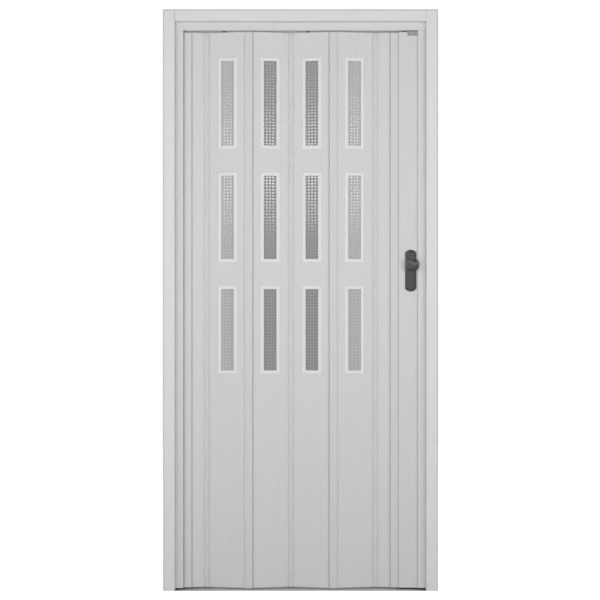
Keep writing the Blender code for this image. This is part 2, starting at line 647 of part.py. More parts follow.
def build_lead_post(look):
    half = LEAD_DEPTH / 2
    right = LEAD_NECK + LEAD_WIDTH
    outline = hinge_bead(LEAD_NECK)
    outline += arc((LEAD_NECK + LEAD_ROUND, LEAD_ROUND - half), LEAD_ROUND, pi, 1.5 * pi)
    outline += arc((right - LEAD_ROUND, LEAD_ROUND - half), LEAD_ROUND, 1.5 * pi, 2 * pi)
    outline += arc((right - LEAD_ROUND, half - LEAD_ROUND), LEAD_ROUND, 0, pi / 2)
    outline += arc((LEAD_NECK + LEAD_ROUND, half - LEAD_ROUND), LEAD_ROUND, pi / 2, pi)
    chamber = rectangle((LEAD_NECK + LEAD_WALL, LEAD_WALL - half), (right - LEAD_WALL, half - LEAD_WALL))
    solid = extrude([outline, chamber], FLOOR_GAP, LEAF_TOP)
    post = add("lead_post", solid, look["panel"], (LEAD_LEFT - LEAD_NECK, 0, 0))
    spindle = (LEAD_NECK + SPINDLE_INSET, SPINDLE_HEIGHT)
    cut(post, "spindle_hole", extrude([ring(spindle, SPINDLE_HOLE)], -LEAD_DEPTH, LEAD_DEPTH, "Y"))
    wall = LEAD_RIGHT - LEAD_WALL - SPINDLE_X
    rise = sqrt(HOOK_OUTER ** 2 - wall ** 2) + HOOK_CLEAR
    fall = HOOK_ARM / 2 + HOOK_CLEAR
    side = HOOK_THICK / 2 + HOOK_CLEAR
    slot = rectangle((right - 2 * LEAD_WALL, -side), (right + LEAD_WALL, side))
    cut(post, "hook_slot", extrude([slot], SPINDLE_HEIGHT - fall, SPINDLE_HEIGHT + rise))


def handle_plate():
    """A plate with curved ends, lying in the XZ plane round the spindle."""
    half = PLATE_WIDTH / 2
    radius = (half ** 2 + PLATE_ARCH ** 2) / (2 * PLATE_ARCH)
    swing = asin(half / radius)
    top = PLATE_HEIGHT / 2 - PLATE_DROP
    bottom = -PLATE_HEIGHT / 2 - PLATE_DROP
    outline = arc((0, top - radius), radius, pi / 2 - swing, pi / 2 + swing)
    outline += arc((0, bottom + radius), radius, 1.5 * pi - swing, 1.5 * pi + swing)
    return extrude([outline, ring((0, 0), SPINDLE_HOLE)], -PLATE_THICK / 2, PLATE_THICK / 2, "Y")


def grip_outline():
    """A grip with a blunt end and a fuller, rounded end to the right."""
    half = GRIP_HEIGHT / 2
    low_left = (GRIP_CORNER - GRIP_BACK, GRIP_CORNER - half)
    high_left = (GRIP_CORNER - GRIP_BACK, half - GRIP_CORNER)
    outline = arc(low_left, GRIP_CORNER, pi, 1.5 * pi)
    outline += arc((GRIP_REACH - GRIP_NOSE, GRIP_NOSE - half), GRIP_NOSE, 1.5 * pi, 2 * pi)
    outline += arc((GRIP_REACH - GRIP_NOSE, half - GRIP_NOSE), GRIP_NOSE, 0, pi / 2)
    return outline + arc(high_left, GRIP_CORNER, pi / 2, pi)


def build_handles(look):
    """Plates and grips on both faces; the front grip carries the square spindle."""
    for side, facing in (("front", -1), ("rear", 1)):
        plate_y = facing * (PLATE_IN + PLATE_THICK / 2)
        plate = add(f"{side}_plate", handle_plate(), look["handle"], (SPINDLE_X, plate_y, SPINDLE_HEIGHT))
        soften(plate, PLATE_EDGE)
        near, far = sorted((facing * GRIP_IN, facing * (GRIP_IN + GRIP_THICK)))
        axis = (SPINDLE_X, 0, SPINDLE_HEIGHT)
        lever = add(f"{side}_lever", extrude([grip_outline()], near, far, "Y"), look["handle"], axis)
        soften(lever, GRIP_EDGE)
        boss = sorted((facing * (PLATE_OUT + FIT), facing * (GRIP_IN + GRIP_THICK / 2)))
        join(lever, "boss", extrude([ring((0, 0), GRIP_HUB)], *boss, "Y"))
    tail = GRIP_IN
    half = SPINDLE_SIDE / 2
    square = rectangle((-half, -half), (half, half))
    join(bpy.data.objects["front_lever"], "spindle", extrude([square], -tail, tail, "Y"))
    pocket = rectangle((-half - FIT, -half - FIT), (half + FIT, half + FIT))
    cut(bpy.data.objects["rear_lever"], "pocket", extrude([pocket], PLATE_OUT, tail + FIT, "Y"))


def build_hook(look):
    """Hook on the spindle, drawn in its hooked place and then turned back into the lead post."""
    half = HOOK_ARM / 2
    arm = [(0, half)] + arc((0, 0), HOOK_OUTER, asin(half / HOOK_OUTER), -HOOK_CLAW)
    arm += arc((0, 0), HOOK_INNER, -HOOK_CLAW, -asin(half / HOOK_INNER)) + [(0, -half)]
    hook = add("hook_bolt", extrude([arm], -HOOK_THICK / 2, HOOK_THICK / 2, "Y"), look["steel"])
    hook.location = (SPINDLE_X, 0, SPINDLE_HEIGHT)
    hook.rotation_euler.y = -LATCH_TURN
    reach = LEAD_DEPTH / 2 - LEAD_WALL - FIT
    join(hook, "hub", extrude([ring((0, 0), HOOK_HUB)], -reach, reach, "Y"))
    side = SPINDLE_SIDE / 2 + FIT
    square = extrude([rectangle((-side, -side), (side, side))], -LEAD_DEPTH, LEAD_DEPTH, "Y")
    bmesh.ops.rotate(square, verts=square.verts, matrix=Matrix.Rotation(LATCH_TURN, 3, "Y"))
    cut(hook, "spindle_hole", square)


def build_strike(look):
    """Box strike in the right channel, with the slot that the hook swings through."""
    rise = sqrt(HOOK_OUTER ** 2 - (STRIKE_FRONT - SPINDLE_X) ** 2) + STRIKE_PLAY
    fall = HOOK_ARM / 2 + STRIKE_PLAY
    top = rise + STRIKE_MARGIN
    bottom = -fall - STRIKE_MARGIN
    deep = CHANNEL_WEB - FIT - STRIKE_FRONT
    low = bottom + STRIKE_WALL
    high = top - STRIKE_WALL
    section = [(0, bottom), (deep, bottom), (deep, low), (STRIKE_WALL, low)]
    section += [(STRIKE_WALL, high), (deep, high), (deep, top), (0, top)]
    solid = extrude([section], -STRIKE_WIDTH / 2, STRIKE_WIDTH / 2, "Y")
    strike = add("strike_plate", solid, look["steel"], (STRIKE_FRONT, 0, SPINDLE_HEIGHT))
    side = HOOK_THICK / 2 + STRIKE_PLAY
    slot = rectangle((-STRIKE_WALL, -side), (2 * STRIKE_WALL, side))
    cut(strike, "hook_slot", extrude([slot], -fall, rise))


def build_door():
    for old in list(bpy.data.objects):
        bpy.data.objects.remove(old)
    look = finishes()
    build_casing(look)
    build_channels(look)
    build_track(look)
    build_strips(look)
    build_half_panels(look)
    for number in range(1, WHOLE_PANELS + 1):
        panel = build_panel(look, number)
        if number in (1, 3):
            plug_panel(panel)
    build_trolleys(look)
    build_lead_post(look)
    build_lead_hanger(look)
    build_handles(look)
    build_hook(look)
    build_strike(look)


build_door()
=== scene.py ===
"""Looks of the accordion door: finishes, patterned panes, handles, screws, the studio and the camera.

Metres, +Z up, the front towards -Y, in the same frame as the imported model.
"""

import json
from math import atan2, cos, hypot, pi, radians, sin

import bmesh
import bpy
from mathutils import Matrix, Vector


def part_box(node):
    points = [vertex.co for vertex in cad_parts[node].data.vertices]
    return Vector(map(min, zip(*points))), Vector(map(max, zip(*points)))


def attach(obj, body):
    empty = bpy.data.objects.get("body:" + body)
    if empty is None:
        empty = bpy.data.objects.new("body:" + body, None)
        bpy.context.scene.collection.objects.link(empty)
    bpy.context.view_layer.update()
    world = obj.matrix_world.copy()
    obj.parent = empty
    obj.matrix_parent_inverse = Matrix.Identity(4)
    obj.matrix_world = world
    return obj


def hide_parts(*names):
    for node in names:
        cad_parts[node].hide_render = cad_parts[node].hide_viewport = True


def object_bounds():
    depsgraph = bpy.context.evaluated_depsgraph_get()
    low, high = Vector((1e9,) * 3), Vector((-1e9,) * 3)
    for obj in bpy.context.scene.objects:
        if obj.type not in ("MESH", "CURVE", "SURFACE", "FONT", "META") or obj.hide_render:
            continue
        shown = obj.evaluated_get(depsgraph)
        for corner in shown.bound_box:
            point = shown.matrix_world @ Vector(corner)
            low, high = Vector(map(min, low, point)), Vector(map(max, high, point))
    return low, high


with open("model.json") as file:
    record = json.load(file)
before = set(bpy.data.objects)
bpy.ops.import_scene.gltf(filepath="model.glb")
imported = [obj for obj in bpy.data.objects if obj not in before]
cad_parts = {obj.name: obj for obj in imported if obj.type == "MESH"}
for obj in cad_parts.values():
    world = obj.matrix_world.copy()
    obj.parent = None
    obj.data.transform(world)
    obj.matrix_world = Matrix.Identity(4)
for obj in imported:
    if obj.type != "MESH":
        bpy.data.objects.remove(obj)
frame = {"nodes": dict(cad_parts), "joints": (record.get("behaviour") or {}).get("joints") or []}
cad_low, cad_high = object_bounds()

NODES = frame["nodes"]
JOINTS = {joint["name"]: Vector(joint["pos_m"]) for joint in frame["joints"]}
PANELS = (1, 2, 3, 4)

# Modelling
SAME_PLACE = 0.00001            # points closer than this are one point
FACES_AXIS = 0.9                # least part of a normal along the axis that its face looks along
SHARP_ANGLE = radians(35)       # an edge that turns by more is a sharp one
TIPPED = (pi / 2, 0, 0)         # what points up comes to point to the front

# Plastic and panes
NOISE_LOW = 0.3                 # most of a noise field lies between these two
NOISE_HIGH = 0.7
PVC_GLOSS = 0.15
PVC_DARK = 0.975                # darkest and lightest grain, as shares of the plain colour
PVC_LIGHT = 1.02
PVC_ROUGHER = 0.06              # roughness of the grain, less or more than the plain one
PVC_GRAIN = 0.35                # strength of the grain
MOTTLE_SCALE = (160, 160, 40)   # mottle of the panes
MOTTLE_ROUGHER = 0.2            # its roughness, a share less or more than the plain one

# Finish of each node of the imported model, by the start of its name: the first row that fits
NODE_FINISHES = (
    ("casing_head", "head"), ("casing", "casing"), ("channel", "channel"), ("track", "track"),
    # painted light: hinge strip 0 takes the panels' lighter PVC, to cancel the casing's shade on it, and
    # strips 1, 3 and 5 a lighter copy of the strips' PVC, for the shade of their recess
    ("hinge_strip_0", "panel"), ("hinge_strip_1", "lightened_rear_strip"), ("hinge_strip_3", "lightened_rear_strip"),
    ("hinge_strip_5", "lightened_rear_strip"), ("hinge_strip", "front_strip"), ("half_panel", "panel"),
    ("panel", "panel"), ("pane", "inner_bar"), ("bead", "bead"), ("lead_post", "lead"),
    ("lead_hanger", "steel"), ("strike", "steel"), ("hook", "steel"), ("carriage", "trolley"),
    ("wheels", "trolley"), ("front", "handle"), ("rear", "handle"),
)

# Extrusions with eased edges
EASED_NODES = ("hinge_strip", "channel", "lead_post", "half_panel", "casing")
EASED_EDGE = 0.0012

# Soft dark lips of the front covers, whose grey is a painted shade line for the gaps beside them, and seals
# in the seams beside fixed pieces: piece, its side and its body
COVER_SHADE_LIPS = (("hinge_strip_0", 1, "frame"), ("hinge_strip_2", 1, "strip_2"),
              ("hinge_strip_4", -1, "strip_4"), ("hinge_strip_6", -1, "lead"))
SEAM_SEALS = (("hinge_strip_0", -1, "frame"), ("hinge_strip_6", 1, "lead"),
              ("channel_left", -1, "frame"), ("channel_right", 1, "frame"))
LIP_WIDTH = 0.0013
LIP_BED = 0.0001                # lip inside its piece
LIP_BACK = 0.0009               # lip behind the front of its piece
LIP_THICK = 0.0011
LIP_ROUND = 0.45                # rounding of its edge, as a share of its thickness

# Patterned panes
SQUARE_PITCH = 0.0109           # one square of the pattern to the next
SQUARE_BAR = 0.0048             # plain bar between two squares
SQUARE_RISE = 0.0005            # squares above the bars
SQUARE_RIM = 0.0004             # steep rim of a square

# Handles
PLATE_ARCH = 0.0102             # rise of a plate's curved ends
PLATE_BASE = 0.0024             # straight edge of a plate, below its sloping border
PLATE_BORDER = 0.0075           # sloping border
PLATE_LEDGE = 0.0009            # narrow ledge round the field
PLATE_SINK = 0.0006             # field below the ledge
PLATE_SIDES = 96
GRIP_THICK = 0.014
GRIP_BLUNT = (0.6, 0.8)         # blunt end, as shares of the grip's thickness and height
# Rings along the grip: place, depth and height, as shares of its length, thickness and height
GRIP_RINGS = ((0.03, 0.65, 0.94), (0.26, 0.65, 0.91), (0.46, 0.64, 0.89), (0.62, 0.64, 0.93),
              (0.80, 0.64, 0.98), (0.93, 0.60, 0.78), (1.00, 0.44, 0.46))
GRIP_ROUND = 0.0034             # rounding along the grip
OFF_AXIS = 0.0001               # what is further than this from the grip's axis lies beside it
CROWN_SHARE = 0.80              # crown of the full end, as a share of the grip's length
CROWN_TOP = 0.0025
CROWN_RISE = 0.0026
CROWN_REACH = 0.015
NECK_RADIUS = 0.011             # neck between the grip and its plate
NECK_SIDES = 48
NECK_ROUND = GRIP_ROUND / 3
RUN_GAP = 0.0003                # neck clear of the plate
SPINDLE_SIDE = 0.008
UNION_MERGE = 0.00002           # points closer than this become one where shapes join
CAP_SIZE = (0.0034, 0.0066)     # half width and half height of the screw cap
CAP_DROP = 0.046                # screw cap below the spindle
CAP_RISE = 0.0012
CAP_ROUND = 0.8                 # rounding of the cap, as a share of its rise
CAP_SIDES = 40

# Screws
SCREW_RADIUS = 0.0034
SCREW_RISE = 0.0013
SCREW_ROUND = 0.0008
SCREW_SIDES = 32
CROSS_SIZE = (0.0044, 0.0012, 0.0009)
LOOKS_BACK = pi                 # turn of a screw from the front to the back
LOOKS_LEFT = -pi / 2            # and from the front to the left
BRACKET_SCREW_LEFT = 0.015      # from the left edge of the rear plate
BRACKET_SCREW_RIGHT = 0.0015    # from its right edge
BRACKET_SCREW_UP = 0.006        # above the lower edge of the bracket
PLATE_SCREW_INSET = 0.014
STRIKE_SCREW_INSET = 0.006
CHANNEL_WEB = 0.002
CHANNEL_SCREWS = (0.06, 0.36, 0.66, 0.94)   # shares of the channel's height

# Studio
PHOTO_SIDE = 600                # pixels
PIXEL_SCALE = 0.003522          # metres in one pixel at the front of the casing
SENSOR_WIDTH = 36.0             # millimetres
CAMERA_PLACE = (-0.0018, -4.545, 1.025)
FRONT_BOX = ((0.0, -3.0, 1.22), (0.7, 1.7), 17.7)       # place, size and watts
REAR_BOX = ((0.0, 3.2, 1.9), (3.0, 1.6), 68.0)
SIDE_BOX = ((1.05, -2.6, 1.79), (0.95, 0.67), 8.8)      # a pair, whose gloss falls on the panes
STRIP_BOX = ((0.83, -2.5, 1.75), (0.5, 0.16), 0.8)      # a pair, for the two inner panes
TOP_BOX = ((1.05, -2.6, 2.33), (0.95, 0.4), 1.8)        # a pair, a weak gloss for the panes' upper ends
WING_BOX = ((1.7, -2.3, 1.2), (0.4, 1.6), 11.0)         # a pair, whose shadows fall beside the handle
ROOM_LIGHT = 0.25
FLOOR_SIDE = 9.0
FLOOR_PAINT = 0.7
FLOOR_ROUGHNESS = 0.9
FLOOR_GLOW = 0.86               # white that the floor adds for the eye
# painted shade: how far the occlusion reaches and how deeply it darkens the floor under the leaf
PAINTED_SHADE_REACH = 0.15              # shade on the floor under the leaf
PAINTED_SHADE_DEPTH = 2.5


# Finishes

def grey(level):
    return (level, level, level)


def start_finish(name, level, roughness, metallic=0.0):
    """A new grey finish, with its plain values set on the shader itself."""
    finish = bpy.data.materials.new(name)
    finish.use_nodes = True
    shader = finish.node_tree.nodes["Principled BSDF"]
    shader.inputs["Base Color"].default_value = (*grey(level), 1)
    shader.inputs["Roughness"].default_value = roughness
    shader.inputs["Metallic"].default_value = metallic
    return finish, shader


def grain_field(finish, scale, detail):
    """Noise on the piece's own coordinates, drawn out by a scale along each axis."""
    tree = finish.node_tree
    coordinates = tree.nodes.new("ShaderNodeTexCoord")
    mapping = tree.nodes.new("ShaderNodeMapping")
    mapping.inputs["Scale"].default_value = scale
    noise = tree.nodes.new("ShaderNodeTexNoise")
    noise.inputs["Scale"].default_value = 1.0
    noise.inputs["Detail"].default_value = detail
    tree.links.new(coordinates.outputs["Object"], mapping.inputs["Vector"])
    tree.links.new(mapping.outputs["Vector"], noise.inputs["Vector"])
    return noise.outputs["Fac"]


def vary_colour(finish, shader, field, dark, light):
    tree = finish.node_tree
    ramp = tree.nodes.new("ShaderNodeValToRGB")
    first, last = ramp.color_ramp.elements
    first.position = NOISE_LOW
    first.color = (*grey(dark), 1)
    last.position = NOISE_HIGH
    last.color = (*grey(light), 1)
    tree.links.new(field, ramp.inputs["Fac"])
    tree.links.new(ramp.outputs["Color"], shader.inputs["Base Color"])


def vary_roughness(finish, shader, field, low, high):
    tree = finish.node_tree
    spread = tree.nodes.new("ShaderNodeMapRange")
    spread.inputs["From Min"].default_value = NOISE_LOW
    spread.inputs["From Max"].default_value = NOISE_HIGH
    spread.inputs["To Min"].default_value = low
    spread.inputs["To Max"].default_value = high
    tree.links.new(field, spread.inputs["Value"])
    tree.links.new(spread.outputs["Result"], shader.inputs["Roughness"])


def raise_grain(finish, shader, field, height, strength):
    tree = finish.node_tree
    bump = tree.nodes.new("ShaderNodeBump")
    bump.inputs["Distance"].default_value = height
    bump.inputs["Strength"].default_value = strength
    tree.links.new(field, bump.inputs["Height"])
    tree.links.new(bump.outputs["Normal"], shader.inputs["Normal"])


def pvc_finish(name, level, roughness, grain, height):
    """White plastic with a faint grain: the grain's scale says how it is drawn out."""
    finish, shader = start_finish(name, level, roughness)
    shader.inputs["Specular IOR Level"].default_value = PVC_GLOSS
    field = grain_field(finish, grain, detail=3.0)
    vary_colour(finish, shader, field, dark=level * PVC_DARK, light=level * PVC_LIGHT)
    vary_roughness(finish, shader, field, low=roughness - PVC_ROUGHER, high=roughness + PVC_ROUGHER)
    raise_grain(finish, shader, field, height, strength=PVC_GRAIN)
    return finish


def pane_finish(name, level, roughness, gloss, mottle):
    """Translucent patterned sheet, with a soft mottle in its depth; gloss is its index of refraction."""
    finish, shader = start_finish(name, level, roughness)
    shader.inputs["IOR"].default_value = gloss
    field = grain_field(finish, MOTTLE_SCALE, detail=2.0)
    vary_colour(finish, shader, field, dark=level * (1 - mottle), light=level * (1 + mottle))
    vary_roughness(finish, shader, field, low=roughness * (1 - MOTTLE_ROUGHER),
                   high=roughness * (1 + MOTTLE_ROUGHER))
    return finish


def graphite_finish():
    """Dark grey enamel with a fine orange peel."""
    finish, shader = start_finish("graphite_enamel", level=0.029, roughness=0.24)
    shader.inputs["Specular IOR Level"].default_value = 0.38
    field = grain_field(finish, scale=(900, 900, 900), detail=2.0)
    vary_colour(finish, shader, field, dark=0.026, light=0.033)
    vary_roughness(finish, shader, field, low=0.20, high=0.29)
    raise_grain(finish, shader, field, height=0.00006, strength=0.5)
    return finish


def trolley_finish():
    """Black nylon, slightly dusty."""
    finish, shader = start_finish("trolley_nylon", level=0.025, roughness=0.5)
    field = grain_field(finish, scale=(420, 420, 420), detail=3.0)
    vary_colour(finish, shader, field, dark=0.018, light=0.036)
    vary_roughness(finish, shader, field, low=0.42, high=0.62)
    return finish


def steel_finish(name, scale):
    """Zinc-plated steel, brushed along the direction in which the scale is small."""
    finish, shader = start_finish(name, level=0.19, roughness=0.42, metallic=1.0)
    field = grain_field(finish, scale, detail=3.0)
    vary_colour(finish, shader, field, dark=0.15, light=0.23)
    vary_roughness(finish, shader, field, low=0.28, high=0.46)
    raise_grain(finish, shader, field, height=0.00003, strength=0.4)
    return finish


def make_finishes():
    """Every finish by its short name. The rows' numbers are in the order of their functions' own."""
    return {
        "casing": pvc_finish("casing_pvc", 0.725, 0.55, (90, 90, 3), 0.00004),
        "head": pvc_finish("head_pvc", 0.725, 0.55, (3, 90, 90), 0.00004),
        "channel": pvc_finish("channel_pvc", 0.635, 0.55, (160, 160, 3), 0.00004),
        "track": pvc_finish("track_pvc", 0.650, 0.55, (3, 160, 160), 0.00004),
        "front_strip": pvc_finish("front_strip_pvc", 0.635, 0.48, (210, 210, 4), 0.00008),
        # painted light: a lighter copy of the strips' PVC, cancelling the shade of the recess where the
        # rear strips sit; the seam seals take it too
        "lightened_rear_strip": pvc_finish("lightened_rear_strip_pvc", 0.745, 0.48, (210, 210, 4), 0.00008),
        "panel": pvc_finish("panel_pvc", 0.655, 0.48, (260, 260, 5), 0.00010),
        "lead": pvc_finish("lead_pvc", 0.640, 0.46, (240, 240, 5), 0.00008),
        # painted shade: the dark grey of the lips that stand for the shade in the covers' gaps
        "lip": pvc_finish("shade_lip_pvc", 0.16, 0.6, (300, 300, 6), 0.00003),
        "bead": pvc_finish("window_bead_pvc", 0.755, 0.34, (120, 120, 120), 0.00003),
        # painted light: the outer panes are a lighter copy of the inner panes' sheet, for the brighter
        # light that falls on them
        "outer_bar": pane_finish("lit_outer_pane_bar", 0.43, 0.6, 1.45, 0.05),
        "outer_square": pane_finish("lit_outer_pane_square", 0.390, 0.14, 1.80, 0.04),
        "inner_bar": pane_finish("shaded_inner_pane_bar", 0.264, 0.6, 1.45, 0.06),
        "inner_square": pane_finish("shaded_inner_pane_square", 0.200, 0.14, 2.0, 0.05),
        "handle": graphite_finish(),
        "trolley": trolley_finish(),
        "steel": steel_finish("bracket_steel", (40, 40, 700)),
        "screw": steel_finish("screw_steel", (600, 600, 600)),
    }


def dress_nodes(finishes):
    """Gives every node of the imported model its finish, and the long extrusions eased edges."""
    for name, node in NODES.items():
        kind = next(finish for start, finish in NODE_FINISHES if name.startswith(start))
        for slot in node.material_slots:
            slot.material = finishes[kind]
        if name.startswith(EASED_NODES):
            weld = node.modifiers.new("weld", "WELD")
            weld.merge_threshold = SAME_PLACE
            soften(node, EASED_EDGE)


# Modelling by hand

def start_piece(name):
    """Names the primitive that was just added and makes its axes those of the door."""
    piece = bpy.context.object
    piece.name = name
    piece.data.name = name
    bpy.ops.object.transform_apply(location=False, rotation=True, scale=True)
    return piece


def pick(kind, wanted):
    """Selects the vertices, edges or faces of the piece in edit mode that pass a test, and no others."""
    bpy.ops.mesh.select_mode(type=kind)
    bpy.ops.mesh.select_all(action="DESELECT")
    mesh = bpy.context.object.data
    cage = bmesh.from_edit_mesh(mesh)
    items = {"VERT": cage.verts, "EDGE": cage.edges, "FACE": cage.faces}[kind]
    for item in items:
        if wanted(item):
            item.select_set(True)
    cage.select_flush_mode()
    bmesh.update_edit_mesh(mesh)


def middle(edge):
    return (edge.verts[0].co + edge.verts[1].co) / 2


def extrude(move):
    bpy.ops.mesh.extrude_region_move(TRANSFORM_OT_translate={"value": move})


def round_edges(width, segments):
    bpy.ops.mesh.bevel(offset=width, offset_type="OFFSET", segments=segments, affect="EDGES")


def apply_all(piece):
    """Applies the piece's modifiers in their order."""
    bpy.context.view_layer.objects.active = piece
    for modifier in list(piece.modifiers):
        bpy.ops.object.modifier_apply(modifier=modifier.name)


def soften(piece, width, segments=3, angle=SHARP_ANGLE):
    edge = piece.modifiers.new("soften", "BEVEL")
    edge.width = width
    edge.segments = segments
    edge.limit_method = "ANGLE"
    edge.angle_limit = angle


def combine(piece, tool, operation):
    """Joins another shape to the piece, or cuts it out of the piece, and drops that shape."""
    joint = piece.modifiers.new("combine", "BOOLEAN")
    joint.operation = operation
    joint.solver = "EXACT"
    joint.object = tool
    apply_all(piece)
    drop(tool)


def settle(piece, body, finish=None):
    """Puts the piece's place into its mesh, gives it its finish and lets it ride on a body."""
    bpy.ops.object.select_all(action="DESELECT")
    piece.select_set(True)
    bpy.context.view_layer.objects.active = piece
    bpy.ops.object.transform_apply(location=True, rotation=True, scale=True)
    bpy.ops.object.shade_smooth_by_angle(angle=SHARP_ANGLE)
    even = piece.modifiers.new("even", "WEIGHTED_NORMAL")
    even.keep_sharp = True
    apply_all(piece)
    if finish:
        piece.data.materials.clear()
        piece.data.materials.append(finish)
    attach(piece, body)


def copy_piece(pattern, name):
    copy = pattern.copy()
    copy.data = pattern.data.copy()
    copy.name = name
    copy.data.name = name
    bpy.context.scene.collection.objects.link(copy)
    return copy


def drop(piece):
    bpy.data.objects.remove(piece)


# Soft lips

def soft_lip(kind, node, way, body, finish):
    """A lip with a round edge along the right side of a piece or, with way -1, along its left side."""
    low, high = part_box(node)
    edge = high.x if way > 0 else low.x
    place = (edge + way * (LIP_WIDTH / 2 - LIP_BED), low.y + LIP_BACK + LIP_THICK / 2, (low.z + high.z) / 2)
    bpy.ops.object.select_all(action="DESELECT")
    bpy.ops.mesh.primitive_cube_add(size=1, location=place, scale=(LIP_WIDTH, LIP_THICK, high.z - low.z))
    lip = start_piece(f"{kind}_{node.split('_')[-1]}")
    outer = way * LIP_WIDTH / 2
    bpy.ops.object.mode_set(mode="EDIT")
    pick("EDGE", lambda side: abs(middle(side).x - outer) < SAME_PLACE and abs(middle(side).z) < SAME_PLACE)
    round_edges(LIP_THICK * LIP_ROUND, 3)
    bpy.ops.object.mode_set(mode="OBJECT")
    settle(lip, body, finish)


def set_lips(finishes):
    """Dark grey lips on the covers' edges towards the middle of the door, a painted shade line for the gaps
    there, and white seals in the fixed seams.
    """
    for node, way, body in COVER_SHADE_LIPS:
        soft_lip("cover_shade_lip", node, way, body, finishes["lip"])
    for node, way, body in SEAM_SEALS:
        soft_lip("seam_seal", node, way, body, finishes["lightened_rear_strip"])


# Patterned panes

def model_pane(width, height, thickness, finishes):
    """A sheet of raised squares on both faces, upright, with its middle at the origin."""
    columns = round(width / SQUARE_PITCH)
    rows = round(height / SQUARE_PITCH)
    half = thickness / 2 - SQUARE_RISE
    bpy.ops.object.select_all(action="DESELECT")
    bpy.ops.mesh.primitive_grid_add(x_subdivisions=columns, y_subdivisions=rows, size=1, rotation=TIPPED)
    pane = start_piece("pane_pattern")
    pane.data.materials.append(finishes["inner_bar"])
    pane.data.materials.append(finishes["inner_square"])
    bpy.ops.object.mode_set(mode="EDIT")
    bpy.ops.mesh.select_all(action="SELECT")
    bpy.ops.transform.resize(value=(width, 1, height))
    bpy.ops.transform.translate(value=(0, -half, 0))
    pick("FACE", lambda face: True)
    bpy.ops.mesh.inset(thickness=SQUARE_BAR / 2, use_individual=True)
    pane.active_material_index = 1
    bpy.ops.object.material_slot_assign()
    bpy.ops.mesh.inset(thickness=SQUARE_RIM, use_individual=True)
    bpy.ops.transform.translate(value=(0, -SQUARE_RISE, 0))
    pick("EDGE", lambda edge: edge.is_boundary)
    extrude((0, half, 0))
    bpy.ops.object.mode_set(mode="OBJECT")
    mirror = pane.modifiers.new("both_faces", "MIRROR")
    mirror.use_axis = (False, True, False)
    mirror.merge_threshold = SAME_PLACE
    apply_all(pane)
    return pane


def panel_line(number):
    """Middle of a whole panel between its two hinge beads, and the angle that it stands at."""
    start = JOINTS[f"fold_leaf_{number}"]
    end = JOINTS[f"fold_strip_{number + 1}"]
    return (start + end) / 2, atan2(end.y - start.y, end.x - start.x)


def hang_panes(finishes):
    """The panes in their panels, as wide and thick as the box of a leaning pane says they are."""
    low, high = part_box("pane_1")
    across = high.x - low.x
    deep = high.y - low.y
    lean = abs(panel_line(1)[1])
    thickness = (deep - across * sin(lean) / cos(lean)) * cos(lean) / cos(2 * lean)
    width = (across - thickness * sin(lean)) / cos(lean)
    pattern = model_pane(width, high.z - low.z, thickness, finishes)
    for number in PANELS:
        place, turn = panel_line(number)
        pane = copy_piece(pattern, f"patterned_pane_{number}")
        pane.location = (place.x, place.y, (low.z + high.z) / 2)
        pane.rotation_euler.z = turn
        # painted light: the two outer panes take the lighter copy of the sheet
        kind = "outer" if number in (PANELS[0], PANELS[-1]) else "inner"
        pane.data.materials[0] = finishes[f"{kind}_bar"]
        pane.data.materials[1] = finishes[f"{kind}_square"]
        settle(pane, f"leaf_{number}")
        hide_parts(f"pane_{number}")
    drop(pattern)


# Handles

def draw_in(size, margin, rise):
    """Extrudes the selected face outwards and draws its outline in by a margin all round."""
    extrude(rise)
    bpy.ops.transform.resize(value=(1 - 2 * margin / size.x, 1, 1 - 2 * margin / size.z))


def handle_plate(side, facing, finishes):
    """A plate with curved ends, a sloping border and a field sunk inside a narrow ledge."""
    low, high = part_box(f"{side}_plate")
    size = high - low
    radius = (size.x ** 2 / 4 + PLATE_ARCH ** 2) / (2 * PLATE_ARCH)
    back = high.y if facing < 0 else low.y
    middle_x = (low.x + high.x) / 2
    middle_z = (low.z + high.z) / 2
    bpy.ops.object.select_all(action="DESELECT")
    bpy.ops.mesh.primitive_cylinder_add(vertices=PLATE_SIDES, radius=radius, depth=PLATE_BASE,
                                        location=(middle_x, back + facing * PLATE_BASE / 2, middle_z),
                                        rotation=TIPPED)
    plate = start_piece(f"{side}_handle_plate")
    bpy.ops.object.mode_set(mode="EDIT")
    for way in (-1, 1):
        bpy.ops.mesh.select_all(action="SELECT")
        bpy.ops.mesh.bisect(plane_co=(middle_x + way * size.x / 2, 0, 0), plane_no=(way, 0, 0),
                            use_fill=True, clear_outer=True)
    for way in (-1, 1):
        pick("VERT", lambda vert: vert.co.z * way > 0)
        bpy.ops.transform.translate(value=(0, 0, way * (size.z / 2 - radius)))
    pick("FACE", lambda face: face.normal.y * facing > FACES_AXIS)
    inner = size - Vector((2 * PLATE_BORDER, 0, 2 * PLATE_BORDER))
    draw_in(size, PLATE_BORDER, (0, facing * (size.y - PLATE_BASE), 0))
    draw_in(inner, PLATE_LEDGE, (0, 0, 0))
    draw_in(inner, PLATE_SINK, (0, -facing * PLATE_SINK, 0))
    bpy.ops.object.mode_set(mode="OBJECT")
    soften(plate, PLATE_SINK / 2, segments=2, angle=radians(20))
    apply_all(plate)
    settle(plate, "lead", finishes["handle"])
    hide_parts(f"{side}_plate")


